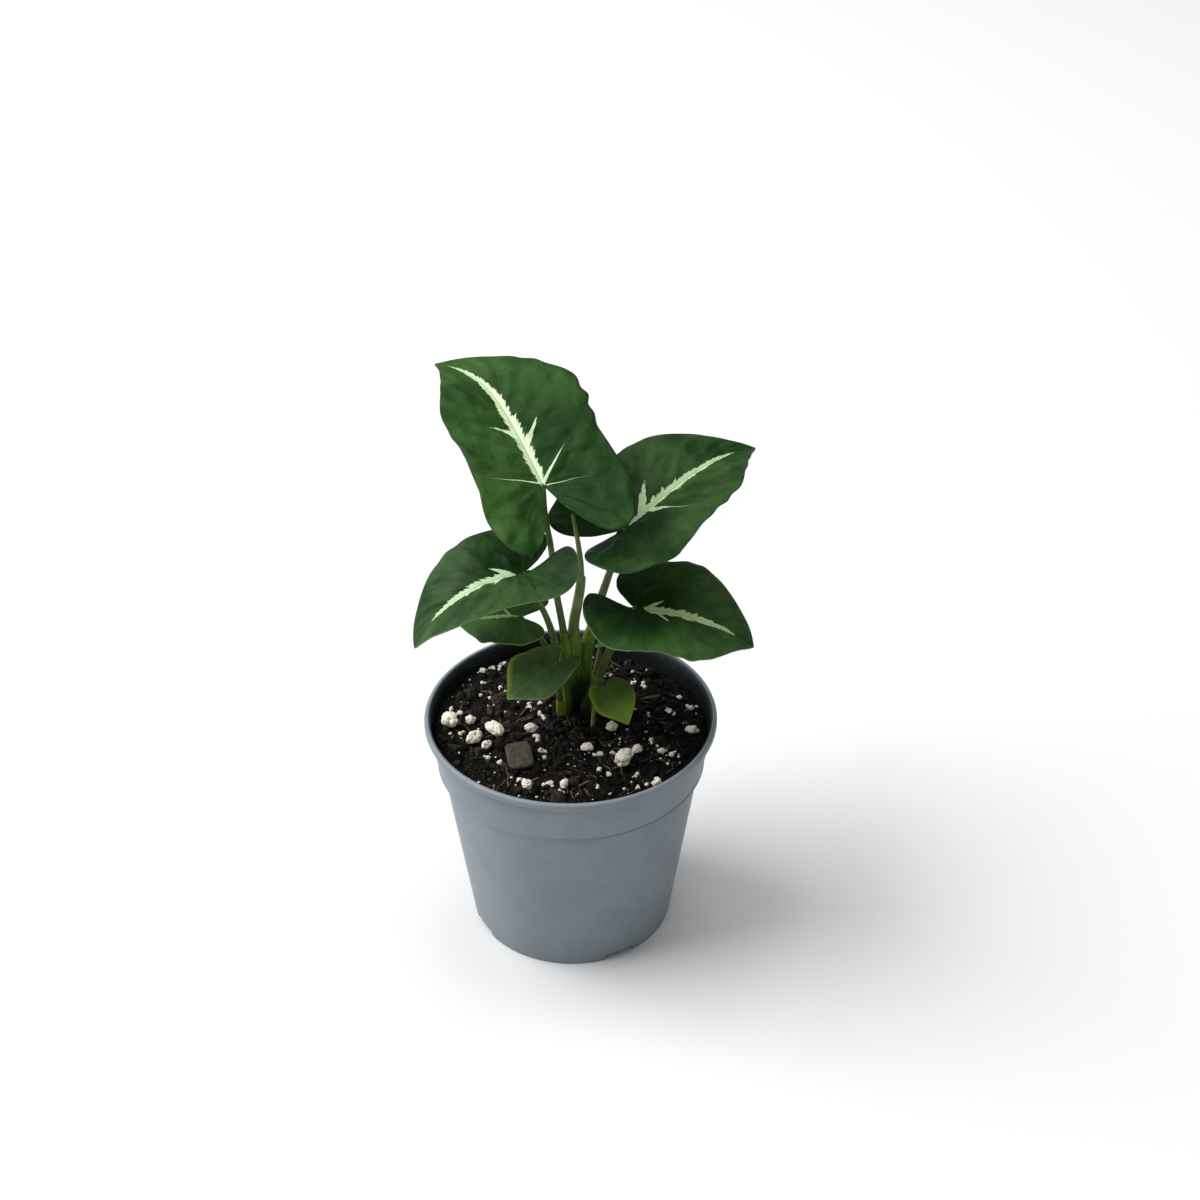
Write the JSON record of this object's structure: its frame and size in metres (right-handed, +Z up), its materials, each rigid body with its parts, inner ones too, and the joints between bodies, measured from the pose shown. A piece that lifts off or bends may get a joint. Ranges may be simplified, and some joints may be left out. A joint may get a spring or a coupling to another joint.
{
  "type": "potted syngonium",
  "caption": "Young arrowhead-leaved houseplant on slim arching stalks, standing in dark soil in a round tapered nursery pot with a rolled lip and a notched foot.",
  "frame": {"origin": "centre of the pot's underside, on the pot's axis, at the level it stands on", "axes": "+Z up along the pot's axis; the plant's front, the side seen in the picture, looks along -Y; +X to the viewer's right"},
  "size_m": [0.1367, 0.1259, 0.2313],
  "materials": {
    "pot_plastic": "grey-blue moulded polypropylene, satin-matt",
    "soil": null,
    "sheath_green": null,
    "leaf_green": null,
    "young_leaf_green": null,
    "stalk_green": null,
    "young_stalk_green": "light green stalk of the small shoot, satin",
    "spear_green": "rolled new leaf, pale green at its tip",
    "perlite": "cream-white expanded volcanic glass, dull",
    "bark": "flat grey-brown bark chip, dull"
  },
  "bodies": {
    "root": {"pot": "pot_plastic", "soil": "soil", "crown": "sheath_green", "blade_a": "leaf_green", "blade_b": "leaf_green", "blade_c": "leaf_green", "blade_d": "leaf_green", "blade_e": "leaf_green", "blade_f": "young_leaf_green", "blade_g": "young_leaf_green", "blade_h": "young_leaf_green", "stalk_a": "stalk_green", "stalk_b": "stalk_green", "stalk_c": "stalk_green", "stalk_d": "stalk_green", "stalk_e": "stalk_green", "stalk_f": "stalk_green", "stalk_h": "stalk_green", "stalk_g": "young_stalk_green", "spear": "spear_green", "perlite_01": "perlite", "perlite_02": "perlite", "perlite_03": "perlite", "perlite_04": "perlite", "perlite_05": "perlite", "perlite_06": "perlite", "perlite_07": "perlite", "perlite_08": "perlite", "perlite_09": "perlite", "perlite_10": "perlite", "perlite_11": "perlite", "perlite_12": "perlite", "perlite_13": "perlite", "perlite_14": "perlite", "bark_chip": "bark"}
  },
  "joints": []
}
